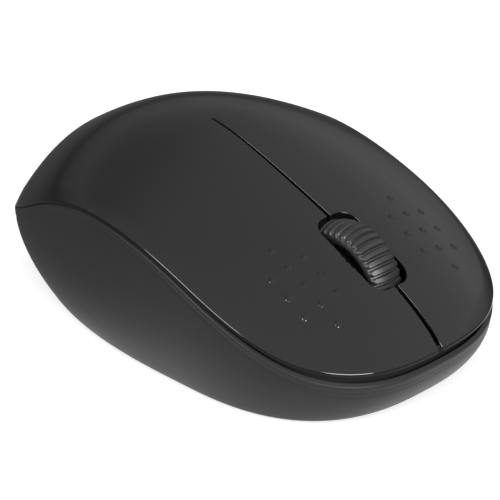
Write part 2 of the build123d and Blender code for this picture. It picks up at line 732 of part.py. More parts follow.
# ================================================================ all pieces
def build():
    shell = cover_shell()
    right_key = right_button(shell)
    switch = key_switch()
    plunger = key_plunger()
    pieces = {
        "palm_cover": palm_cover(shell),
        "right_button": right_key,
        "left_button": mirrored(right_key),
        "base_shell": base_shell(),
        "battery_door": battery_door(),
        "battery_left": battery(-1, 1),
        "battery_right": battery(1, -1),
        "battery_springs": battery_springs(),
        "front_contact_positive": front_contact(-1),
        "front_contact_negative": front_contact(1),
        "rear_contact_plate": rear_contact_plate(),
        "circuit_board": circuit_board(),
        "board_screws": board_screws(),
        "case_screws": case_screws(),
        "right_switch": switch,
        "left_switch": mirrored(switch),
        "right_switch_plunger": plunger,
        "left_switch_plunger": mirrored(plunger),
        "middle_switch": middle_switch(),
        "middle_switch_plunger": middle_switch_plunger(),
        "sensor_ic": sensor_ic(),
        "sensor_lens": sensor_lens(),
        "sensor_led": sensor_led(),
        "led_clip": led_clip(),
        "encoder_emitter": encoder_block(1),
        "encoder_detector": encoder_block(-1),
        "power_switch": power_switch(),
        "power_lever": power_lever(),
        "power_knob": power_knob(),
        "capacitors": capacitors(),
        "wheel_tyre": wheel_tyre(),
        "wheel_hub": wheel_hub(),
        "wheel_carrier": wheel_carrier(),
        "carrier_bracket": carrier_bracket(),
    }
    pieces.update(chips())
    pieces.update(feet())
    return pieces


def solids_of(shape):
    """The shape's solids as one compound, whether it is one shape or a list."""
    group = shape if isinstance(shape, list) else [shape]
    found = []
    for item in group:
        found.extend(item.solids())
    return Compound(children=found) if len(found) > 1 else found[0]


os.makedirs("parts", exist_ok=True)
for name, shape in build().items():
    export_step(solids_of(shape), os.path.join("parts", name + ".step"))
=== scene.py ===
import math

import bpy
import numpy as np
from mathutils import Matrix, Vector
from mathutils.geometry import delaunay_2d_cdt


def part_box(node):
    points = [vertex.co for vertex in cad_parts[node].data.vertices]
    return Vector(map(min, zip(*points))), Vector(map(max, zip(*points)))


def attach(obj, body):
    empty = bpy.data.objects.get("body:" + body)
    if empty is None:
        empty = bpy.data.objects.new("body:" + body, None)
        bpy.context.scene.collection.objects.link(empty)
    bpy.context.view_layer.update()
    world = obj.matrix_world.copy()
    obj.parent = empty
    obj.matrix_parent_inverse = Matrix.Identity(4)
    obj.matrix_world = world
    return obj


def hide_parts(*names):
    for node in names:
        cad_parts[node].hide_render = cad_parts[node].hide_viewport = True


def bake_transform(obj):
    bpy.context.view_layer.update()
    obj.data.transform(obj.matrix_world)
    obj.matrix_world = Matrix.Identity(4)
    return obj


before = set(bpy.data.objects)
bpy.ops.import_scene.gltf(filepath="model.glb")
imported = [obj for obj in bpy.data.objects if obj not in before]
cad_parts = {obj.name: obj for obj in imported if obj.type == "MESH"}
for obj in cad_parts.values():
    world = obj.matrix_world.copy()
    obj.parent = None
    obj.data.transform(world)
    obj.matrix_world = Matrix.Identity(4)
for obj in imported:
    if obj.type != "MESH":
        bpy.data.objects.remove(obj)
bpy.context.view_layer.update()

# The looks of a cordless mouse. Shapes are worked out in millimetres in the part's own frame
# (+Y forward, +X the user's right, +Z up, z = 0 on the desk) and turned into metres when a mesh is made.

MM = 0.001

# ---------------------------------------------------------------- the body's shape, as in the CAD part
HALF_WIDTH = 29.9
WIDEST_Y = 14.9
FRONT_REACH = 35.1
REAR_REACH = 64.9
FRONT_POWER = 2.61
REAR_POWER = 2.89
REAR_TAPER = 0.057
SIDE_TUCK = (20.9, 2.64, 3.7)
FRONT_TUCK = (10.0, 4.54, 2.31)
REAR_TUCK = (13.4, 9.27, 1.99)
CROWN = ((-50, 9.1), (-44, 22.2), (-36, 29.9), (-22, 36.5), (-5, 37.2), (12, 31.9), (30, 24.3), (42, 17.6),
         (50, 11.9))
DROP_X = 28.0
DROP = ((-35, 17.5), (0, 6.66), (35, 6.69))
DROP_POWER = 2.29
DROP_POWER_CHANGE = 0.00714
NOSE_BEND = (43.0, 50.0, 0.84)
RIM = 1.2
INNER = 2.0
STEP = (2.5, 5.5)
ROLL_WIDTH = 2.1
ROLL_DEPTH = 0.6
ROLL_POWER = 1.45
ROLL_RINGS = (0.3, 0.6, 0.9, 1.2, 1.5, 1.75, 1.95, 2.05, 2.2)
GAP = ((-50, 0.3), (-35, 0.3), (-10, 0.45), (10, 0.75), (30, 1.2), (45, 2.0), (54, 2.4))
BASE_BOTTOM = 0.6
FLOOR_TOP = 2.6

# ---------------------------------------------------------------- the cover's cuts
SEAM_Y = -6.9
SEAM_HALF = 28
SLIT_END_Y = -6.3
SLIT = ((-8.0, 0.35), (23.0, 0.7), (54.0, 0.9))
SLOT_REAR = 23.5
SLOT_FRONT = 39.4
SLOT_HALF = 4.4
SLOT_CORNER = 2.8
SLOT_MOUTH = 0.35
NOSE_Y = 50.0
NOSE_CORNER = 0.45
RIM_ROUND = 0.5
SLIT_ROUND = 0.2
ROUND_STEPS = 6

# ---------------------------------------------------------------- grip dots
DOT_Y = 24.3
DOT_PITCH = 3.91
DOT_COLUMNS = ((14.9, 0, 5), (11.0, 1, 3), (18.8, 1, 3))
DOT_RADIUS = 0.6
DOT_HEIGHT = 0.34


# ================================================================ shape functions
def spline_bends(at, value):
    """The second derivatives, at the given places, of the smooth curve through the given values."""
    step = np.diff(at)
    slope = np.diff(value) / step
    matrix = np.eye(len(at))
    turn = np.zeros(len(at))
    for i in range(1, len(at) - 1):
        matrix[i, i - 1:i + 2] = (step[i - 1], 2 * (step[i - 1] + step[i]), step[i])
        turn[i] = 6 * (slope[i] - slope[i - 1])
    return np.linalg.solve(matrix, turn)


CROWN_Y, CROWN_Z = np.array(CROWN, float).T
CROWN_BENDS = spline_bends(CROWN_Y, CROWN_Z)
DROP_CURVE = np.polyfit([p[0] for p in DROP], [p[1] for p in DROP], 2)


def crown(y):
    """The dome's height along the middle."""
    i = np.clip(np.searchsorted(CROWN_Y, y) - 1, 0, len(CROWN) - 2)
    step = CROWN_Y[i + 1] - CROWN_Y[i]
    far = (CROWN_Y[i + 1] - y) / step
    near = 1 - far
    bulge = (far ** 3 - far) * CROWN_BENDS[i] + (near ** 3 - near) * CROWN_BENDS[i + 1]
    return far * CROWN_Z[i] + near * CROWN_Z[i + 1] + bulge * step ** 2 / 6


def dome(x, y):
    power = DROP_POWER + DROP_POWER_CHANGE * y
    start, end, depth = NOSE_BEND
    bend = depth * np.maximum(0.0, (y - start) / (end - start)) ** 2
    return crown(y) - np.polyval(DROP_CURVE, y) * (np.abs(x) / DROP_X) ** power - bend


def slope_normal(height, x, y):
    """The upward unit normal of a height function."""
    step = 0.02
    dx = (height(x + step, y) - height(x - step, y)) / (2 * step)
    dy = (height(x, y + step) - height(x, y - step)) / (2 * step)
    normal = np.stack([-dx, -dy, np.ones_like(dx)], -1)
    return normal / np.linalg.norm(normal, axis=-1, keepdims=True)


def gap(y):
    return np.interp(y, [p[0] for p in GAP], [p[1] for p in GAP])


def tuck(shape, z):
    height, depth, power = shape
    return depth * np.maximum(0.0, (height - z) / height) ** power


def wall(angle, z, inset=0.0):
    """The wall's point at an angle round the body's middle, at height z, moved inwards by inset."""
    c, s = np.cos(angle), np.sin(angle)
    ahead = s >= 0
    half = HALF_WIDTH - tuck(SIDE_TUCK, z) - inset
    front = FRONT_REACH - tuck(FRONT_TUCK, z) - inset
    rear = REAR_REACH - tuck(REAR_TUCK, z) - inset
    reach = np.where(ahead, front, rear)
    power = np.where(ahead, FRONT_POWER, REAR_POWER)
    radius = (np.abs(c / half) ** power + np.abs(s / reach) ** power) ** (-1 / power)
    reached = np.where(ahead, 0, np.abs(radius * s / reach) ** power)
    drawn_in = 4 * REAR_TAPER * reached * (1 - reached)
    return np.stack([radius * c * (1 - drawn_in), WIDEST_Y + radius * s, z + 0 * radius], -1)


def wall_normal(angle, z, inset=0.0):
    step = 1e-3
    along = wall(angle + step, z, inset) - wall(angle - step, z, inset)
    up = wall(angle, z + 0.05, inset) - wall(angle, z - 0.05, inset)
    normal = np.cross(along, up)
    return normal / np.linalg.norm(normal, axis=-1, keepdims=True)


def wall_meets(height, angle, inset=0.0):
    """The wall's point where it meets a height function."""
    z = np.full_like(angle, 20.0)
    for _ in range(30):
        point = wall(angle, z, inset)
        z = 0.5 * z + 0.5 * height(point[..., 0], point[..., 1])
    return wall(angle, z, inset)


def round_corner(corner, first, second, radius, steps):
    """Rows of points and normals that round an edge, from normal first to normal second."""
    cosine = np.clip(np.sum(first * second, -1, keepdims=True), -0.99, 0.9999)
    turn = np.arccos(cosine)
    centre = corner - radius[..., None] * (first + second) / (1 + cosine)
    points, normals = [], []
    for k in range(steps + 1):
        share = k / steps
        normal = (np.sin((1 - share) * turn) * first + np.sin(share * turn) * second) / np.sin(turn)
        points.append(centre + radius[..., None] * normal)
        normals.append(normal)
    return points, normals


# ================================================================ mesh helpers
def make_piece(name, points, faces, normals=None, smooth_angle=None):
    """A mesh object from points in millimetres. Normals, if given, are one per point."""
    mesh = bpy.data.meshes.new(name)
    mesh.from_pydata((np.asarray(points) * MM).tolist(), [], faces)
    mesh.validate()
    mesh.polygons.foreach_set("use_smooth", [True] * len(mesh.polygons))
    if normals is not None:
        mesh.normals_split_custom_set_from_vertices(np.asarray(normals).tolist())
    if smooth_angle is not None:
        mesh.set_sharp_from_angle(angle=math.radians(smooth_angle))
    piece = bpy.data.objects.new(name, mesh)
    bpy.context.scene.collection.objects.link(piece)
    return piece


def strip(first, second, closed=False):
    """Quads between two rows of point numbers."""
    count = len(first)
    last = count if closed else count - 1
    return [(first[i], first[(i + 1) % count], second[(i + 1) % count], second[i]) for i in range(last)]


def inside(points, loop):
    """Which of the points lie inside a closed 2-D loop."""
    x, y = points[:, 0], points[:, 1]
    result = np.zeros(len(points), bool)
    ax, ay = loop[:, 0], loop[:, 1]
    bx, by = np.roll(ax, -1), np.roll(ay, -1)
    for i in range(len(loop)):
        crosses = (ay[i] > y) != (by[i] > y)
        if crosses.any():
            at = ax[i] + (y - ay[i]) / (by[i] - ay[i] + 1e-12) * (bx[i] - ax[i])
            result ^= crosses & (x < at)
    return result


def distance_to(points, line):
    """The distance of each point from a dense 2-D line."""
    near = np.full(len(points), 1e9)
    for start in range(0, len(line), 200):
        part = line[start:start + 200]
        d = np.hypot(points[:, None, 0] - part[None, :, 0], points[:, None, 1] - part[None, :, 1])
        near = np.minimum(near, d.min(1))
    return near


def dense(loop, count=6):
    """A closed loop with points added along its sides."""
    ahead = np.roll(loop, -1, 0)
    return np.vstack([loop + (ahead - loop) * k / count for k in range(count)])


def fill(loop, spare, spacing, clear=0.12):
    """Fills a closed 2-D loop: (added inner points, triangles). Numbers below len(loop) are the loop's own."""
    low, high = loop.min(0), loop.max(0)
    xs = np.arange(math.ceil(low[0] / spacing), math.floor(high[0] / spacing) + 1) * spacing
    ys = np.arange(math.ceil(low[1] / spacing), math.floor(high[1] / spacing) + 1) * spacing
    grid = np.array([(x, y) for x in xs for y in ys])
    grid = grid[inside(grid, loop)]
    grid = grid[distance_to(grid, loop) > 0.55 * spacing]
    if len(spare):
        spare = spare[inside(spare, loop)]
        spare = spare[distance_to(spare, dense(loop)) > clear]
        grid = grid[distance_to(grid, spare) > 0.5 * spacing]
        grid = np.vstack([grid, spare])
    every = np.vstack([loop, grid])
    edges = [(i, (i + 1) % len(loop)) for i in range(len(loop))]
    out = delaunay_2d_cdt([Vector(p) for p in every.tolist()], edges, [], 0, 1e-7)
    origin = [ids[0] if ids else -1 for ids in out[3]]
    faces = []
    for face in out[2]:
        middle = np.mean([every[origin[i]] for i in face], axis=0)
        if inside(middle[None, :], loop)[0]:
            faces.append(tuple(origin[i] for i in face))
    return grid, faces


# ================================================================ cover
def arc(centre, radius, start, end, steps):
    angles = np.radians(np.linspace(start, end, steps + 1))
    return [(centre[0] + radius * math.cos(a), centre[1] + radius * math.sin(a)) for a in angles]


def run(start, end, spacing):
    count = max(1, round(math.dist(start, end) / spacing))
    return [tuple(np.array(start) + (np.array(end) - np.array(start)) * i / count) for i in range(count + 1)]


def slit_half(y):
    return float(np.interp(y, [p[0] for p in SLIT], [p[1] for p in SLIT])) / 2


def angle_at_y(y):
    """The angle, on the right side, where the cover's edge passes a given y."""
    angles = np.linspace(-1.5, 1.5, 3001)
    rim = wall_meets(rolled_rim, angles)
    return float(np.interp(y, rim[:, 1], angles))


def outline_part(start, end, spacing=0.8):
    """Angles along the cover's edge, evenly spaced in length."""
    angles = np.linspace(start, end, 2000)
    rim = wall_meets(rolled_rim, angles)
    length = np.concatenate([[0], np.cumsum(np.linalg.norm(np.diff(rim, axis=0), axis=1))])
    count = round(length[-1] / spacing)
    return np.interp(np.linspace(0, length[-1], count + 1), length, angles)


def bump(x, y):
    """The grip dots' height above the dome."""
    raised = np.zeros_like(x)
    for cx, cy in DOT_CENTRES:
        away = np.minimum(np.hypot(np.abs(x) - cx, y - cy), DOT_RADIUS)
        raised += np.sqrt(DOT_BALL ** 2 - away ** 2) - (DOT_BALL - DOT_HEIGHT)
    return raised


def dot_centres():
    centres = []
    for x, first, count in DOT_COLUMNS:
        centres += [(x, DOT_Y + DOT_PITCH * (first + i)) for i in range(count)]
    return centres


DOT_CENTRES = dot_centres()
DOT_BALL = (DOT_RADIUS ** 2 + DOT_HEIGHT ** 2) / (2 * DOT_HEIGHT)


def rolled_rim(x, y):
    """The dome, lowered by as much as the cover's edge has rolled over."""
    return dome(x, y) - ROLL_DEPTH


def edge_outline():
    """The cover's corner seen from above, and its unit normals towards the middle."""
    loop = wall_meets(rolled_rim, np.linspace(0, 2 * math.pi, 2401)[:-1])[:, :2]
    along = np.roll(loop, -1, 0) - np.roll(loop, 1, 0)
    along /= np.linalg.norm(along, axis=1, keepdims=True)
    return loop, np.column_stack([-along[:, 1], along[:, 0]])


OUTLINE, INWARDS = edge_outline()


def edge_distance(x, y):
    """How far inside the cover's corner points lie, seen from above."""
    points = np.column_stack([x, y])
    result = np.zeros(len(points))
    for start in range(0, len(points), 500):
        part = points[start:start + 500]
        square = (part[:, None, 0] - OUTLINE[None, :, 0]) ** 2 + (part[:, None, 1] - OUTLINE[None, :, 1]) ** 2
        near = square.argmin(1)
        result[start:start + 500] = np.sum((part - OUTLINE[near]) * INWARDS[near], 1)
    return result


def cover_top(x, y):
    """The cover's upper face: the dome with its grip dots and its edge rolled over."""
    over = np.maximum(ROLL_WIDTH - edge_distance(x, y), 0)
    return dome(x, y) + bump(x, y) - ROLL_DEPTH * (over / ROLL_WIDTH) ** ROLL_POWER


def thickness(points):
    """The cover's vertical thickness under the dome: thin at its outer edge, full inside."""
    share = np.clip((edge_distance(points[:, 0], points[:, 1]) - STEP[0]) / (STEP[1] - STEP[0]), 0, 1)
    return RIM + (INNER - RIM) * share


def roll_rings():
    """Points along the rolled edge, in rings."""
    rings = []
    for k, depth in enumerate(ROLL_RINGS):
        loop = OUTLINE + depth * INWARDS
        rings.append(loop[4 * (k % 2)::8])
    return np.vstack(rings)


def edge_rows(path, normal2, outline_angles, radius, depth):
    """The rounded upper edge and the wall under it, for a path seen from above.

    path has one point per vertex and outline_angles the wall's angle, or nan where the wall is upright.
    Returns rows of points and of normals, from the dome down to the wall's lower edge.
    """
    on_wall = ~np.isnan(outline_angles)
    corner = np.column_stack([path, cover_top(path[:, 0], path[:, 1])])
    top_normal = slope_normal(cover_top, path[:, 0], path[:, 1])
    side_normal = np.column_stack([normal2, np.zeros(len(path))])
    side_normal[on_wall] = wall_normal(outline_angles[on_wall], corner[on_wall, 2])
    points, normals = round_corner(corner, top_normal, side_normal, radius, ROUND_STEPS)
    start = points[-1][:, 2]
    low = dome(path[:, 0], path[:, 1]) - depth
    edge = np.minimum(0.15, (start - low) / 4)
    for share in (0.5, 1.0):
        z = start + (low + edge - start) * share
        row = np.column_stack([path, z])
        side = side_normal.copy()
        if on_wall.any():
            row[on_wall] = wall(outline_angles[on_wall], z[on_wall])
            side[on_wall] = wall_normal(outline_angles[on_wall], z[on_wall])
        points.append(row)
        normals.append(side)
    low_corner = np.column_stack([path, low])
    if on_wall.any():
        low_corner[on_wall] = wall(outline_angles[on_wall], low[on_wall])
    under = -top_normal
    more, more_normals = round_corner(low_corner, normals[-1], under, edge, 3)
    return points + more[1:], normals + more_normals[1:]


def path_normals(path, ends):
    """Unit normals to the right of an open path. ends gives the directions at its two ends."""
    ahead = np.diff(path, axis=0)
    ahead /= np.linalg.norm(ahead, axis=1, keepdims=True)
    along = np.vstack([ends[0], ahead[:-1] + ahead[1:], ends[1]])
    along = along / np.linalg.norm(along, axis=1, keepdims=True)
    return np.column_stack([along[:, 1], -along[:, 0]])


def shell_piece(name, path, normal2, angles, radius, closing, extra):
    """A piece of the cover: an open path of finished edges, closed by the plain points of closing."""
    path_points = np.array(path)
    depth = thickness(path_points)
    rows, row_normals = edge_rows(path_points, normal2, angles, radius, depth)
    count = len(path_points)
    points = np.vstack(rows)
    normals = np.vstack(row_normals)
    numbers = [list(range(k * count, (k + 1) * count)) for k in range(len(rows))]
    faces = []
    for upper, lower in zip(numbers[:-1], numbers[1:]):
        faces += [tuple(reversed(f)) for f in strip(upper, lower)]

    def sheet(edge_numbers, height, way, spare, spacing):
        nonlocal points, normals, faces
        seam = np.array(closing)
        loop = np.vstack([points[edge_numbers][:, :2], seam])
        inner, triangles = fill(loop, spare, spacing)
        new = np.vstack([seam, inner])
        z = height(new)
        first = len(points)
        points = np.vstack([points, np.column_stack([new, z])])
        shade = cover_top if way > 0 else dome
        normals = np.vstack([normals, way * slope_normal(shade, new[:, 0], new[:, 1])])
        lookup = list(edge_numbers) + list(range(first, first + len(new)))
        for triangle in triangles:
            face = [lookup[i] for i in triangle]
            first_corner, second_corner, third_corner = (points[i][:2] for i in face)
            area = np.cross(second_corner - first_corner, third_corner - first_corner)
            if area * way < 0:
                face.reverse()
            faces.append(tuple(face))
        return list(range(first, first + len(seam)))

    upper = sheet(numbers[0], lambda p: cover_top(p[:, 0], p[:, 1]), 1, extra, 1.0)
    lower = sheet(numbers[-1], lambda p: dome(p[:, 0], p[:, 1]) - thickness(p), -1, [], 2.0)
    end_column = [row[-1] for row in numbers]
    start_column = [row[0] for row in numbers]
    faces.append(tuple(end_column + lower + start_column[::-1] + upper[::-1]))
    return make_piece(name, points, faces, normals)


def dot_rings():
    rings = []
    for cx, cy in DOT_CENTRES:
        rings.append((cx, cy))
        for share in (0.35, 0.65, 0.85, 1.0, 1.15):
            rings += arc((cx, cy), DOT_RADIUS * share, 0, 330, 11)
    return np.array(rings)


def seam_points():
    """Points a millimetre apart across the seam, right to left, without its ends on the cover's edge."""
    return [(x, SEAM_Y) for x in np.arange(SEAM_HALF, -SEAM_HALF - 1, -1.0)]


def palm_piece():
    start = math.pi - angle_at_y(SEAM_Y)
    angles = outline_part(start, 2 * math.pi + angle_at_y(SEAM_Y))
    rim = wall_meets(rolled_rim, angles)
    flat = wall_normal(angles, rim[:, 2])[:, :2]
    radius = np.full(len(angles), RIM_ROUND)
    return shell_piece("palm_cover_skin", rim[:, :2], flat, angles, radius, seam_points(), roll_rings())


def key_path():
    """The right key's finished edges: from the seam round the nose, then back along slit and slot."""
    corner, small = NOSE_CORNER, SLOT_MOUTH
    nose_half = slit_half(NOSE_Y)
    seam_angle = angle_at_y(SEAM_Y)
    outline = outline_part(seam_angle, math.pi / 2 - (nose_half + corner) / FRONT_REACH)
    rim = wall_meets(rolled_rim, outline)
    parts = [tuple(p) for p in rim[:, :2]]
    angles = list(outline)
    radius = [RIM_ROUND] * len(parts)
    nose_y = float(rim[-1, 1])
    front_half = slit_half(SLOT_FRONT)
    rear_half = slit_half(SLOT_REAR)
    inner = SLOT_HALF - SLOT_CORNER

    def add(points, edge_radius):
        for point in points:
            if math.dist(point, parts[-1]) > 0.02:
                parts.append(tuple(point))
                angles.append(math.nan)
                radius.append(edge_radius)

    turn = arc((nose_half + corner, nose_y - corner), corner, 90, 180, 9)
    for k, point in enumerate(turn):
        add([point], RIM_ROUND + (SLIT_ROUND - RIM_ROUND) * k / 9)
    add(run((nose_half, nose_y - corner), (front_half, SLOT_FRONT + small), 0.8), SLIT_ROUND)
    add(arc((front_half + small, SLOT_FRONT + small), small, 180, 270, 6), SLIT_ROUND)
    add(run((front_half + small, SLOT_FRONT), (inner, SLOT_FRONT), 0.5), SLIT_ROUND)
    add(arc((inner, SLOT_FRONT - SLOT_CORNER), SLOT_CORNER, 90, 0, 12), SLIT_ROUND)
    add(run((SLOT_HALF, SLOT_FRONT - SLOT_CORNER), (SLOT_HALF, SLOT_REAR + SLOT_CORNER), 0.7), SLIT_ROUND)
    add(arc((inner, SLOT_REAR + SLOT_CORNER), SLOT_CORNER, 0, -90, 12), SLIT_ROUND)
    add(run((inner, SLOT_REAR), (rear_half + small, SLOT_REAR), 0.5), SLIT_ROUND)
    add(arc((rear_half + small, SLOT_REAR - small), small, 90, 180, 6), SLIT_ROUND)
    end_half = slit_half(SLIT_END_Y)
    add(run((rear_half, SLOT_REAR - small), (end_half, SLIT_END_Y + end_half), 0.8), SLIT_ROUND)
    add(arc((0, SLIT_END_Y + end_half), end_half, 0, -90, 6), SLIT_ROUND * 0.7)
    return np.array(parts), np.array(angles), np.array(radius)


def key_piece(name, side):
    path, angles, radius = key_path()
    ends = (path[1] - path[0], np.array([-1.0, 0.0]))
    flat = path_normals(path, ends)
    on_wall = ~np.isnan(angles)
    rim = wall_meets(rolled_rim, angles[on_wall])
    flat[on_wall] = wall_normal(angles[on_wall], rim[:, 2])[:, :2]
    seam = [p for p in seam_points() if p[0] >= 0][::-1]
    extra = np.vstack([dot_rings(), roll_rings()])
    piece = shell_piece(name, path, flat, angles, radius, seam, extra)
    return mirror_piece(piece) if side < 0 else piece


def mirror_piece(piece):
    """Mirrors a finished mesh across the middle plane, with its normals."""
    mesh = piece.data
    normals = np.zeros(len(mesh.loops) * 3, np.float32)
    mesh.corner_normals.foreach_get("vector", normals)
    corner = normals.reshape(-1, 3)
    vertex_of = np.zeros(len(mesh.loops), np.int32)
    mesh.loops.foreach_get("vertex_index", vertex_of)
    per_vertex = np.zeros((len(mesh.vertices), 3), np.float32)
    per_vertex[vertex_of] = corner
    points = np.array([v.co for v in mesh.vertices]) / MM
    points[:, 0] *= -1
    per_vertex[:, 0] *= -1
    faces = [tuple(reversed(p.vertices)) for p in mesh.polygons]
    name = piece.name
    bpy.data.objects.remove(piece)
    bpy.data.meshes.remove(mesh)
    return make_piece(name, points, faces, per_vertex)


# ================================================================ base
BASE_STEPS = 240
BASE_ROUND = 0.4
FOOT_ROUND = 1.2
BEAD_DEPTHS = (2.3, 2.1, 1.9, 1.7, 1.5, 1.3, 1.15, 1.0, 0.8, 0.6)
BAY_FRONT = 6.2
BAY = (12.2, 1.2, -41.5)        # half width, wall and rear end
BAY_TOP = 11.0
BAY_FRONT_TOP = 11.6
BEYOND = -60.0                  # past the tail
DOOR_HALF = 11.1
RAIL = (12.1, 1.6)              # half width and underside
SENSOR_WINDOW = ((-4.0, 4.0), (8.4, 15.0), 1.5)
SWITCH_SLOT = ((-19.0, -15.0), (18.0, 26.0), 0.8)
FOOT_RECESS = (0.12, 0.9, 2.4)  # room round the foot, depth and corner
CASE_SCREW_AT = (19.5, -14.5)
CASE_WELL = 2.3
CASE_BOSS = (3.2, 1.1, 4.0)     # radius, bore and underside
CASE_BOSS_TOP = 8.0
BOARD_SCREW_AT = (19.5, 11.0)
BOARD_BOSS = (2.4, 1.0, 4.0)    # radius, bore and bore bottom
BOARD_PEG_AT = (12.0, 39.5)
BOARD_PEG = 1.6
BOARD_BOTTOM = 7.0
SINK = 0.1                      # how far a piece is sunk into the one it stands on
OVER = 0.01                     # how far a cut passes the face it opens
TONGUE = (1.5, 2.0)
TONGUE_CLEAR = 1.0
LIP = 0.6
GROOVE_DEPTH = 1.8
INNER_WALL = 2.0


def base_top(x, y):
    return dome(x, y) - RIM - gap(y)


def tongue_top(x, y):
    """The top of the thin rim behind the gap. It stays clear of the cover when a key is pressed."""
    return dome(x, y) - RIM - TONGUE_CLEAR


def ring_angles(count):
    """Angles round the outline, closer together where it turns fastest."""
    angles = np.linspace(0, 2 * math.pi, 4001)
    rim = wall(angles, np.full_like(angles, 18.0))
    length = np.concatenate([[0], np.cumsum(np.linalg.norm(np.diff(rim, axis=0), axis=1))])
    return np.interp(np.linspace(0, length[-1], count + 1)[:-1], length, angles)


def bead(depth, y):
    """How far the wall is drawn in below its top edge: a soft groove, and at the nose a second, lower one."""
    first = 0.07 * np.exp(-((depth - 1.15) / 0.35) ** 2)
    nose = np.clip((y - 36) / 8, 0, 1)
    return first + 0.06 * nose * np.exp(-((depth - 1.9) / 0.3) ** 2)


def base_rows():
    """The base's outline rows: up the outside, over the lip, groove and inner rim, and down inside."""
    angles = ring_angles(BASE_STEPS)
    level = np.full_like(angles, BASE_BOTTOM)
    bottom = wall(angles, level)
    side = wall_normal(angles, level + 0.3)
    down = np.tile([0.0, 0.0, -1.0], (len(angles), 1))
    radius = np.full(len(angles), FOOT_ROUND)
    rows, _ = round_corner(bottom, down, side, radius, 5)
    top = wall_meets(base_top, angles)
    up = slope_normal(base_top, top[:, 0], top[:, 1])
    out = wall_normal(angles, top[:, 2])
    radius = np.full(len(angles), BASE_ROUND)
    crown, _ = round_corner(top, out, up, radius, 6)
    low, high = rows[-1][:, 2], top[:, 2] - 2.6
    for share in np.linspace(0, 1, 14)[1:]:
        rows.append(wall(angles, low + (high - low) * share))
    for depth in BEAD_DEPTHS:
        rows.append(wall(angles, top[:, 2] - depth, bead(depth, top[:, 1])))
    rows += crown
    lip = wall_meets(base_top, angles, LIP)
    rows.append(lip)
    ledge = lip[:, 2] - GROOVE_DEPTH
    rows.append(wall(angles, ledge, LIP))
    rows.append(wall(angles, ledge, TONGUE[0]))
    rows.append(wall_meets(tongue_top, angles, TONGUE[0]))
    rows.append(wall_meets(tongue_top, angles, TONGUE[1]))
    for share in np.linspace(0, 1, 7):
        rows.append(wall(angles, ledge + (FLOOR_TOP - ledge) * share, INNER_WALL))
    return rows


def box_loop(x, y):
    return [(x[1], y[1]), (x[0], y[1]), (x[0], y[0]), (x[1], y[0])]


def cutter(name, x, y, z, corner=0.0):
    """An upright block, or one with rounded plan corners, used to cut the base's floor."""
    half = ((x[1] - x[0]) / 2, (y[1] - y[0]) / 2)
    middle = ((x[1] + x[0]) / 2, (y[1] + y[0]) / 2)
    if corner:
        loop = []
        for k, (sx, sy) in enumerate(((1, 1), (-1, 1), (-1, -1), (1, -1))):
            centre = (middle[0] + sx * (half[0] - corner), middle[1] + sy * (half[1] - corner))
            loop += arc(centre, corner, 90 * k, 90 * k + 90, 6)
    else:
        loop = box_loop(x, y)
    count = len(loop)
    points = [(px, py, z[0]) for px, py in loop] + [(px, py, z[1]) for px, py in loop]
    low = list(range(count))
    high = [i + count for i in low]
    faces = strip(low, high, closed=True) + [tuple(reversed(low)), tuple(high)]
    return make_piece(name, points, faces)


def disc_cutter(name, x, y, z, radius):
    return cutter(name, (x - radius, x + radius), (y - radius, y + radius), z, radius * 0.999)


def apply_booleans(piece, cutters):
    """Cuts the cutters from a piece, one by one, and removes them."""
    for tool in cutters:
        step = piece.modifiers.new("cut", "BOOLEAN")
        step.operation = "DIFFERENCE"
        step.solver = "EXACT"
        step.object = tool
    bpy.context.view_layer.update()
    evaluated = piece.evaluated_get(bpy.context.evaluated_depsgraph_get())
    mesh = bpy.data.meshes.new_from_object(evaluated)
    piece.modifiers.clear()
    old = piece.data
    piece.data = mesh
    bpy.data.meshes.remove(old)
    for tool in cutters:
        spare = tool.data
        bpy.data.objects.remove(tool)
        bpy.data.meshes.remove(spare)


def node_plan(name, grow):
    """How far a CAD node reaches in x and in y, in millimetres, grown all round."""
    low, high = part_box(name)
    low, high = np.array(low) / MM, np.array(high) / MM
    return (low[0] - grow, high[0] + grow), (low[1] - grow, high[1] + grow)


def base_piece():
    rows = base_rows()
    count = len(rows[0])
    points = np.vstack(rows)
    numbers = [list(range(k * count, (k + 1) * count)) for k in range(len(rows))]
    faces = []
    for lower, upper in zip(numbers[:-1], numbers[1:]):
        faces += strip(lower, upper, closed=True)
    faces.append(tuple(reversed(numbers[0])))
    faces.append(tuple(numbers[-1]))
    piece = make_piece("base_shell_skin", points, faces)
    along = (BEYOND, BAY_FRONT)
    through = (-1, 5)
    tools = [cutter("cut_door", (-DOOR_HALF, DOOR_HALF), along, (-1, FLOOR_TOP + OVER))]
    tools.append(cutter("cut_rails", (-RAIL[0], RAIL[0]), along, (RAIL[1], FLOOR_TOP + OVER)))
    for name, (x, y, corner) in (("cut_window", SENSOR_WINDOW), ("cut_switch", SWITCH_SLOT)):
        tools.append(cutter(name, x, y, through, corner))
    for side in (-1, 1):
        tools.append(disc_cutter("cut_screw", side * CASE_SCREW_AT[0], CASE_SCREW_AT[1], through, CASE_WELL))
    room, depth, corner = FOOT_RECESS
    for foot in ("foot_front_left", "foot_front_right", "foot_rear_left", "foot_rear_right"):
        x, y = node_plan(foot, room)
        tools.append(cutter("cut_foot", x, y, (-1, depth), corner))
    apply_booleans(piece, tools)
    piece.data.polygons.foreach_set("use_smooth", [True] * len(piece.data.polygons))
    piece.data.set_sharp_from_angle(angle=math.radians(38))
    return piece


# ================================================================ tyre
RIBS = 42
RIB_STEPS = 12
RIB_DEPTH = 0.42
RIB_HALF_GAP = 0.26
RIB_END = 3.33
RIB_SLOPE = 0.3
WHEEL_Y = 28.2
WHEEL_Z = 16.5
WHEEL_RADIUS = 10.8
TYRE_HALF = 3.4
TYRE_CROWN = 1.0
TYRE_BORE = 8.6
TYRE_EDGE = 0.5


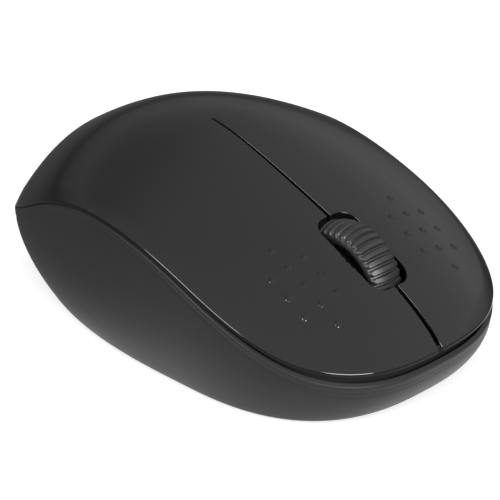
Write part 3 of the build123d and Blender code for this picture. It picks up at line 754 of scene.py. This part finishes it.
def tyre_piece():
    pitch = 2 * math.pi / RIBS
    half_pitch = WHEEL_RADIUS * pitch / 2
    across = np.concatenate([np.linspace(-1, -0.8, 6), np.linspace(-0.72, 0.72, 13), np.linspace(0.8, 1, 6)])
    across = across * (TYRE_HALF - 0.05)
    crown = WHEEL_RADIUS - TYRE_CROWN * (np.abs(across) / TYRE_HALF) ** 2
    turns = np.arange(RIBS * RIB_STEPS) * pitch / RIB_STEPS
    rows = []
    for turn in turns:
        along = ((turn / pitch) % 1 - 0.5) * 2 * half_pitch
        half = half_pitch - RIB_HALF_GAP
        end = RIB_END - half
        past = np.maximum(np.abs(across) - end, 0)
        outside = np.hypot(past, along) - half
        raised = np.clip(0.5 - outside / RIB_SLOPE, 0, 1)
        raised = raised * raised * (3 - 2 * raised)
        radius = crown - RIB_DEPTH * (1 - raised)
        profile = [(-TYRE_HALF, TYRE_BORE), (-TYRE_HALF, crown[0] - TYRE_EDGE)]
        profile += list(zip(across, radius))
        profile += [(TYRE_HALF, crown[-1] - TYRE_EDGE), (TYRE_HALF, TYRE_BORE)]
        rows.append([(x, WHEEL_Y + r * math.cos(turn), WHEEL_Z + r * math.sin(turn)) for x, r in profile])
    count = len(rows[0])
    points = [p for row in rows for p in row]
    faces = []
    total = len(rows)
    for k in range(total):
        first, second = k * count, (k + 1) % total * count
        for i in range(count):
            j = (i + 1) % count
            faces.append((first + i, first + j, second + j, second + i))
    return make_piece("wheel_tyre_ribbed", points, faces, smooth_angle=50)


# ================================================================ materials
def new_material(name):
    material = bpy.data.materials.new(name)
    material.use_nodes = True
    nodes = material.node_tree.nodes
    return material, nodes, material.node_tree.links, nodes["Principled BSDF"]


def object_point(nodes):
    return nodes.new("ShaderNodeTexCoord").outputs["Object"]


def noise(nodes, links, point, scale, detail=3.0, stretch=None):
    """A noise texture's factor. scale is in cycles per metre."""
    if stretch:
        mapping = nodes.new("ShaderNodeMapping")
        mapping.inputs["Scale"].default_value = stretch
        links.new(point, mapping.inputs["Vector"])
        point = mapping.outputs["Vector"]
    texture = nodes.new("ShaderNodeTexNoise")
    texture.inputs["Scale"].default_value = scale
    texture.inputs["Detail"].default_value = detail
    links.new(point, texture.inputs["Vector"])
    return texture.outputs["Fac"]


def spread(nodes, links, factor, low, high, from_low=0.3, from_high=0.7):
    """Maps a factor to a range of numbers."""
    node = nodes.new("ShaderNodeMapRange")
    node.inputs["From Min"].default_value = from_low
    node.inputs["From Max"].default_value = from_high
    node.inputs["To Min"].default_value = low
    node.inputs["To Max"].default_value = high
    links.new(factor, node.inputs["Value"])
    return node.outputs["Result"]


def two_colours(nodes, links, factor, first, second):
    node = nodes.new("ShaderNodeMix")
    node.data_type = "RGBA"
    node.inputs[6].default_value = (*first, 1)
    node.inputs[7].default_value = (*second, 1)
    links.new(factor, node.inputs[0])
    return node.outputs[2]


def add_bump(nodes, links, shader, height, distance, strength=1.0):
    node = nodes.new("ShaderNodeBump")
    node.inputs["Strength"].default_value = strength
    node.inputs["Distance"].default_value = distance
    links.new(height, node.inputs["Height"])
    links.new(node.outputs["Normal"], shader.inputs["Normal"])


def moulded(name, dark, light, rough, grain=2600, depth=0.00002, specular=0.5):
    """Moulded plastic or rubber: faint colour drift, uneven gloss and a fine grain."""
    material, nodes, links, shader = new_material(name)
    point = object_point(nodes)
    drift = noise(nodes, links, point, 60)
    fine = noise(nodes, links, point, grain, 2)
    links.new(two_colours(nodes, links, drift, dark, light), shader.inputs["Base Color"])
    links.new(spread(nodes, links, drift, rough[0], rough[1]), shader.inputs["Roughness"])
    shader.inputs["Specular IOR Level"].default_value = specular
    add_bump(nodes, links, shader, fine, depth)
    return material


def metal(name, dark, light, rough, stretch):
    material, nodes, links, shader = new_material(name)
    point = object_point(nodes)
    lines = noise(nodes, links, point, 900, 4, stretch)
    links.new(two_colours(nodes, links, lines, dark, light), shader.inputs["Base Color"])
    links.new(spread(nodes, links, lines, rough[0], rough[1]), shader.inputs["Roughness"])
    shader.inputs["Metallic"].default_value = 1.0
    add_bump(nodes, links, shader, lines, 0.00001, 0.4)
    return material


DUST_SCALE = 420
DUST_SIZE = (0.03, 0.07)
DUST_SHARE = (0.955, 0.97)
COVER_ROUGHNESS = (0.035, 0.075)


def cover_material():
    """Black piano gloss with a few dust specks and the faintest wiping marks."""
    material, nodes, links, shader = new_material("cover_gloss_black")
    point = object_point(nodes)
    specks = nodes.new("ShaderNodeTexVoronoi")
    specks.inputs["Scale"].default_value = DUST_SCALE
    links.new(point, specks.inputs["Vector"])
    chance = nodes.new("ShaderNodeSeparateColor")
    links.new(specks.outputs["Color"], chance.inputs["Color"])
    near = spread(nodes, links, specks.outputs["Distance"], 1.0, 0.0, *DUST_SIZE)
    few = spread(nodes, links, chance.outputs["Red"], 0.0, 1.0, *DUST_SHARE)
    dust = nodes.new("ShaderNodeMath")
    dust.operation = "MULTIPLY"
    links.new(near, dust.inputs[0])
    links.new(few, dust.inputs[1])
    colour = two_colours(nodes, links, dust.outputs[0], (0.0025, 0.0025, 0.0028), (0.11, 0.11, 0.11))
    links.new(colour, shader.inputs["Base Color"])
    wiped = noise(nodes, links, point, 70, 5, (1.0, 0.25, 1.0))
    links.new(spread(nodes, links, wiped, *COVER_ROUGHNESS), shader.inputs["Roughness"])
    marks = noise(nodes, links, point, 900, 2, (1.0, 0.08, 1.0))
    add_bump(nodes, links, shader, marks, 0.0000008)
    return material


def satin_material():
    """The base's fine satin black."""
    dark, light = (0.013, 0.013, 0.0135), (0.017, 0.017, 0.0175)
    return moulded("base_satin_black", dark, light, (0.38, 0.44), 3800, 0.000014, 0.2)


def board_material():
    material, nodes, links, shader = new_material("board_green_mask")
    point = object_point(nodes)
    tracks = nodes.new("ShaderNodeTexBrick")
    tracks.inputs["Scale"].default_value = 240
    tracks.inputs["Mortar Size"].default_value = 0.03
    tracks.inputs["Color1"].default_value = (0.010, 0.115, 0.045, 1)
    tracks.inputs["Color2"].default_value = (0.012, 0.135, 0.052, 1)
    tracks.inputs["Mortar"].default_value = (0.030, 0.210, 0.080, 1)
    links.new(point, tracks.inputs["Vector"])
    links.new(tracks.outputs["Color"], shader.inputs["Base Color"])
    links.new(spread(nodes, links, noise(nodes, links, point, 300), 0.2, 0.3), shader.inputs["Roughness"])
    add_bump(nodes, links, shader, tracks.outputs["Fac"], 0.00003)
    return material


def cell_material():
    """A cell's printed jacket: a coloured sleeve with a bright band at one end."""
    material, nodes, links, shader = new_material("cell_jacket_print")
    point = object_point(nodes)
    parts = nodes.new("ShaderNodeSeparateXYZ")
    links.new(point, parts.inputs["Vector"])
    band = spread(nodes, links, parts.outputs["Y"], 0.0, 1.0, -0.0305, -0.0300)
    colour = two_colours(nodes, links, band, (0.42, 0.40, 0.36), (0.02, 0.055, 0.16))
    links.new(colour, shader.inputs["Base Color"])
    links.new(spread(nodes, links, noise(nodes, links, point, 400), 0.22, 0.34), shader.inputs["Roughness"])
    shader.inputs["Metallic"].default_value = 0.4
    return material


def clear_material(name, colour, rough):
    material, nodes, links, shader = new_material(name)
    point = object_point(nodes)
    cloud = noise(nodes, links, point, 500)
    darker = tuple(0.8 * c for c in colour)
    links.new(two_colours(nodes, links, cloud, darker, colour), shader.inputs["Base Color"])
    links.new(spread(nodes, links, cloud, rough, rough * 2), shader.inputs["Roughness"])
    shader.inputs["Transmission Weight"].default_value = 0.9
    shader.inputs["IOR"].default_value = 1.49
    return material


def node_materials():
    """What each CAD node that stays visible is made of."""
    grey = moulded("carrier_grey", (0.045, 0.045, 0.048), (0.06, 0.06, 0.063), (0.38, 0.5))
    black = moulded("switch_black", (0.010, 0.010, 0.010), (0.016, 0.016, 0.016), (0.3, 0.42))
    white = moulded("plunger_white", (0.52, 0.50, 0.46), (0.6, 0.58, 0.54), (0.28, 0.36))
    epoxy = moulded("chip_epoxy", (0.009, 0.009, 0.009), (0.014, 0.014, 0.014), (0.4, 0.55), 5200)
    foot = moulded("foot_glide", (0.055, 0.055, 0.058), (0.075, 0.075, 0.078), (0.16, 0.26), 1500, 0.000006)
    knob = moulded("knob_grey", (0.14, 0.14, 0.145), (0.17, 0.17, 0.175), (0.34, 0.42))
    hub = moulded("hub_grey", (0.012, 0.012, 0.012), (0.018, 0.018, 0.018), (0.32, 0.42))
    nickel = metal("contact_nickel", (0.50, 0.49, 0.46), (0.62, 0.61, 0.58), (0.18, 0.3), (1, 0.1, 1))
    zinc = metal("steel_zinc", (0.42, 0.42, 0.43), (0.55, 0.55, 0.56), (0.24, 0.4), (1, 1, 0.1))
    can = metal("can_bright", (0.60, 0.60, 0.61), (0.72, 0.72, 0.73), (0.14, 0.24), (1, 1, 0.1))
    clear = clear_material("lens_clear_optic", (0.93, 0.95, 0.96), 0.03)
    red = clear_material("led_red_epoxy", (0.8, 0.02, 0.015), 0.06)
    satin = satin_material()
    small_black = ["led_clip", "encoder_detector"]
    return {
        satin: ["battery_door"],
        grey: ["wheel_carrier", "carrier_bracket"],
        black: ["right_switch", "left_switch", "middle_switch", "power_switch"] + small_black,
        white: ["right_switch_plunger", "left_switch_plunger", "middle_switch_plunger"],
        epoxy: ["control_ic", "radio_ic", "sensor_ic"],
        foot: ["foot_front_left", "foot_front_right", "foot_rear_left", "foot_rear_right"],
        knob: ["power_knob", "power_lever"],
        hub: ["wheel_hub"],
        nickel: ["battery_springs", "front_contact_positive", "front_contact_negative", "rear_contact_plate"],
        zinc: ["board_screws", "case_screws"],
        can: ["crystal", "capacitors"],
        clear: ["sensor_lens", "encoder_emitter"],
        red: ["sensor_led"],
        board_material(): ["circuit_board"],
        cell_material(): ["battery_left", "battery_right"],
    }


def dress(piece, material):
    piece.data.materials.clear()
    piece.data.materials.append(material)


# ================================================================ hidden posts under the cover
PRESSER_AT = (13.0, 30.0)
PRESSER = (15.4, 1.2, 0.5)      # lower end, radius and taper
SCREW_POST = (8.0, 2.6, 0.4, 1.05)
WING = (0.4, 1.6)               # half thickness and reach
POST_SIDES = 32


def hanging_post(name, x, y, low, radius, taper, bore=0.0, wings=4):
    """A tapered post with gusset wings that hangs from the cover's underside down to a height."""
    def under(px, py):
        """A height inside the cover's thickness."""
        return float(dome(np.array(px), np.array(py))) - INNER + 0.5

    faces = []
    around_post = np.linspace(0, 2 * math.pi, POST_SIDES + 1)[:-1]
    top = [(x + (radius + taper) * math.cos(a), y + (radius + taper) * math.sin(a)) for a in around_post]
    points = [(px, py, under(px, py)) for px, py in top]
    bore_top = min(point[2] for point in points) - 1.5
    for z, r in ((low + 0.4, radius), (low, radius - 0.3), (low, bore), (bore_top, bore)):
        points += [(x + max(r, 0.05) * math.cos(a), y + max(r, 0.05) * math.sin(a), z) for a in around_post]
    rings = [list(range(k * POST_SIDES, (k + 1) * POST_SIDES)) for k in range(5)]
    for upper, lower in zip(rings[:-1], rings[1:]):
        faces += [tuple(reversed(f)) for f in strip(upper, lower, closed=True)]
    faces.append(tuple(rings[0]))
    faces.append(tuple(reversed(rings[-1])))
    for wing in range(wings):
        angle = math.pi / 4 + wing * math.pi / 2
        c, s = math.cos(angle), math.sin(angle)
        first = len(points)
        thick, reach = WING[0], radius + WING[1]
        far_top = under(x + reach * c, y + reach * s)
        near_top = under(x + radius * c, y + radius * s)
        inner = radius - 0.2
        profile = ((inner, low + 3.0), (reach, far_top - 2.0), (reach, far_top), (inner, near_top))
        for off in (-thick, thick):
            for r, z in profile:
                points.append((x + r * c - off * s, y + r * s + off * c, z))
        near = [first + i for i in range(4)]
        far = [first + 4 + i for i in range(4)]
        faces += strip(near, far, closed=True) + [tuple(reversed(near)), tuple(far)]
    return make_piece(name, points, faces, smooth_angle=40)


# ================================================================ inside the base
def joined(name, loops_and_heights, smooth_angle=40):
    """One piece made of upright prisms, each given as a closed plan loop and two heights."""
    points, faces = [], []
    for loop, low, high in loops_and_heights:
        first = len(points)
        count = len(loop)
        points += [(x, y, low) for x, y in loop] + [(x, y, high) for x, y in loop]
        bottom = [first + i for i in range(count)]
        top = [first + count + i for i in range(count)]
        faces += strip(bottom, top, closed=True) + [tuple(reversed(bottom)), tuple(top)]
    return make_piece(name, points, faces, smooth_angle=smooth_angle)


def tube(x, y, radius, bore, low, high, floor):
    """A round boss with a blind bore, as a ring of wedges on a short solid foot."""
    ring = []
    outside, within = arc((x, y), radius, 0, 360, 24), arc((x, y), bore, 0, 360, 24)
    for k in range(24):
        loop = [outside[k + 1], within[k + 1], within[k], outside[k]]
        ring.append((loop, floor, high))
    return [(outside[:-1], low, floor)] + ring


def bay_piece():
    half, thick, rear = BAY
    walls = []
    for side in (-1, 1):
        x = sorted((side * half, side * (half + thick)))
        walls.append((box_loop(x, (rear, BAY_FRONT + thick)), FLOOR_TOP - SINK, BAY_TOP))
    end = box_loop((-half, half), (BAY_FRONT, BAY_FRONT + thick))
    walls.append((end, FLOOR_TOP - SINK, BAY_FRONT_TOP))
    return joined("battery_bay_walls", walls)


def boss_piece():
    bosses = []
    for side in (-1, 1):
        x, y = CASE_SCREW_AT
        radius, bore, low = CASE_BOSS
        bosses += tube(side * x, y, radius, bore, low, CASE_BOSS_TOP, low + OVER)
        x, y = BOARD_SCREW_AT
        radius, bore, bore_bottom = BOARD_BOSS
        bosses += tube(side * x, y, radius, bore, FLOOR_TOP - SINK, BOARD_BOTTOM, bore_bottom)
        x, y = BOARD_PEG_AT
        bosses.append((arc((side * x, y), BOARD_PEG, 0, 345, 23), FLOOR_TOP - SINK, BOARD_BOTTOM))
    return joined("base_bosses", bosses)


# ================================================================ camera, light, floor
AZIMUTH = math.radians(136.76)
ELEVATION = math.radians(26.23)
ROLL = math.radians(-1.61)
DISTANCE = 419.64
TARGET = (1.92, 5.07, 15.0)
FOCAL = 165.6
SENSOR = 36.0

DIM_SIDE = (-0.29, -0.89, 0.34)
WALL_STEPS = ((-1.0, 1.0), (0.0, 0.95), (0.34, 0.86), (0.57, 0.72), (0.71, 0.58), (0.82, 0.45), (0.91, 0.38),
              (1.0, 0.30))
BAND_STEPS = ((-1.0, 1.0), (-0.05, 0.22), (0.06, 0.26), (0.20, 0.64), (0.38, 1.0), (1.0, 1.0))


FLOOR_HALF = 2.0
TABLE_GLOW = 0.5
# Painted pool of light: strength, middle and falloff steps of a glow that only reflections of the floor show.
PAINTED_POOL_GLOW = 1.3
PAINTED_POOL_MIDDLE = (0.0, 0.018, 0.0)
PAINTED_POOL_STEPS = ((0.0, 1.0), (0.036, 1.0), (0.048, 0.5), (0.062, 0.26), (0.085, 0.13), (0.13, 0.09), (0.6, 0.08))


def make_camera():
    level = math.cos(ELEVATION)
    back = Vector((math.sin(AZIMUTH) * level, -math.cos(AZIMUTH) * level, math.sin(ELEVATION)))
    right = Vector((math.cos(AZIMUTH), math.sin(AZIMUTH), 0))
    up = back.cross(right)
    across = math.cos(ROLL) * right + math.sin(ROLL) * up
    above = -math.sin(ROLL) * right + math.cos(ROLL) * up
    data = bpy.data.cameras.new("camera")
    data.lens = FOCAL
    data.sensor_width = SENSOR
    data.clip_start = 0.01
    camera = bpy.data.objects.new("camera", data)
    bpy.context.scene.collection.objects.link(camera)
    place = (Vector(TARGET) + back * DISTANCE) * MM
    turn = [[across[i], above[i], back[i], place[i]] for i in range(3)] + [[0, 0, 0, 1]]
    camera.matrix_world = Matrix(turn)
    bpy.context.scene.camera = camera


def make_world():
    """A plain room, dimmer towards the mouse's rear, with a dim band where its walls meet the floor."""
    world = bpy.data.worlds.new("studio")
    world.use_nodes = True
    nodes, links = world.node_tree.nodes, world.node_tree.links
    background = nodes["Background"]
    direction = nodes.new("ShaderNodeTexCoord").outputs["Generated"]
    facing = nodes.new("ShaderNodeVectorMath")
    facing.operation = "DOT_PRODUCT"
    links.new(direction, facing.inputs[0])
    facing.inputs[1].default_value = Vector(DIM_SIDE).normalized()
    walls = value_ramp(nodes, links, facing.outputs["Value"], WALL_STEPS)
    parts = nodes.new("ShaderNodeSeparateXYZ")
    links.new(direction, parts.inputs["Vector"])
    band = value_ramp(nodes, links, parts.outputs["Z"], BAND_STEPS)
    total = nodes.new("ShaderNodeMath")
    total.operation = "MULTIPLY"
    links.new(walls, total.inputs[0])
    links.new(band, total.inputs[1])
    background.inputs["Color"].default_value = (1, 1, 1, 1)
    links.new(total.outputs[0], background.inputs["Strength"])
    bpy.context.scene.world = world


def value_ramp(nodes, links, value, steps):
    """A curve of grey values, given as (place, value) steps."""
    start, end = steps[0][0], steps[-1][0]
    ramp = nodes.new("ShaderNodeValToRGB")
    links.new(spread(nodes, links, value, 0.0, 1.0, start, end), ramp.inputs["Fac"])
    elements = ramp.color_ramp.elements
    while len(elements) < len(steps):
        elements.new(0.5)
    for element, (place, grey) in zip(elements, steps):
        element.position = (place - start) / (end - start)
        element.color = (grey, grey, grey, 1)
    return ramp.outputs["Color"]


def make_light(name, way, away, size, power):
    """A softbox that faces the mouse from a direction."""
    data = bpy.data.lights.new(name, "AREA")
    data.shape = "RECTANGLE"
    data.size, data.size_y = size
    data.energy = power
    light = bpy.data.objects.new(name, data)
    bpy.context.scene.collection.objects.link(light)
    direction = Vector(way).normalized()
    light.location = direction * away
    light.rotation_euler = direction.to_track_quat("Z", "Y").to_euler()


def make_floor():
    """A pale, faintly glowing table. Glossy rays see a painted pool of light on it instead, bright by the mouse
    and dim further out, so the mouse's reflections show painted light.
    """
    mesh = bpy.data.meshes.new("floor")
    size = FLOOR_HALF
    corners = [(-size, -size, 0), (size, -size, 0), (size, size, 0), (-size, size, 0)]
    mesh.from_pydata(corners, [], [(0, 1, 2, 3)])
    floor = bpy.data.objects.new("floor", mesh)
    bpy.context.scene.collection.objects.link(floor)
    material, nodes, links, shader = new_material("floor_table")
    point = object_point(nodes)
    soft = noise(nodes, links, point, 6)
    colour = two_colours(nodes, links, soft, (0.60, 0.60, 0.60), (0.62, 0.62, 0.62))
    links.new(colour, shader.inputs["Base Color"])
    shader.inputs["Roughness"].default_value = 0.7
    shader.inputs["Specular IOR Level"].default_value = 0.2
    shader.inputs["Emission Color"].default_value = (1, 1, 1, 1)
    shader.inputs["Emission Strength"].default_value = TABLE_GLOW
    # Painted pool of light: glossy rays see this radial glow in place of the table, brightest by the mouse.
    away = nodes.new("ShaderNodeVectorMath")
    away.operation = "DISTANCE"
    links.new(point, away.inputs[0])
    away.inputs[1].default_value = PAINTED_POOL_MIDDLE
    painted_pool_ramp = value_ramp(nodes, links, away.outputs["Value"], PAINTED_POOL_STEPS)
    painted_pool_light = nodes.new("ShaderNodeEmission")
    painted_pool_light.inputs["Strength"].default_value = PAINTED_POOL_GLOW
    links.new(painted_pool_ramp, painted_pool_light.inputs["Color"])
    either = nodes.new("ShaderNodeMixShader")
    links.new(nodes.new("ShaderNodeLightPath").outputs["Is Glossy Ray"], either.inputs["Fac"])
    links.new(shader.outputs["BSDF"], either.inputs[1])
    links.new(painted_pool_light.outputs["Emission"], either.inputs[2])
    links.new(either.outputs["Shader"], nodes["Material Output"].inputs["Surface"])
    dress(floor, material)


# ================================================================ assembly
make_camera()
make_world()
make_light("softbox_right", (0.99, -0.12, 0.62), 0.8, (0.50, 0.26), 4.2)
make_light("softbox_front", (0.25, 0.97, 0.40), 0.8, (0.46, 0.30), 7.0)
make_floor()

gloss = cover_material()
palm = palm_piece()
dress(palm, gloss)
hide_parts("palm_cover")
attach(palm, "body")

for side, key in ((1, "right"), (-1, "left")):
    skin = key_piece(key + "_button_skin", side)
    dress(skin, gloss)
    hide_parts(key + "_button")
    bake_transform(skin)
    presser = hanging_post(key + "_button_presser", side * PRESSER_AT[0], PRESSER_AT[1], *PRESSER)
    dress(presser, gloss)
    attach(presser, key + "_key")

for side, key in ((1, "right"), (-1, "left")):
    screw_post = hanging_post("cover_screw_post_" + key, side * CASE_SCREW_AT[0], CASE_SCREW_AT[1], *SCREW_POST)
    dress(screw_post, gloss)
    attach(screw_post, "body")

base = base_piece()
dress(base, satin_material())
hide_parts("base_shell")
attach(base, "body")

for inner in (bay_piece(), boss_piece()):
    dress(inner, base.data.materials[0])
    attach(inner, "body")

tyre = tyre_piece()
rubber = moulded("tyre_rubber_black", (0.010, 0.010, 0.010), (0.015, 0.015, 0.015), (0.34, 0.42), 3000, 0.00001)
dress(tyre, rubber)
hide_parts("wheel_tyre")
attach(tyre, "wheel")

for material, names in node_materials().items():
    for name in names:
        dress(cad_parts[name], material)

bpy.context.scene.view_settings.view_transform = "Standard"

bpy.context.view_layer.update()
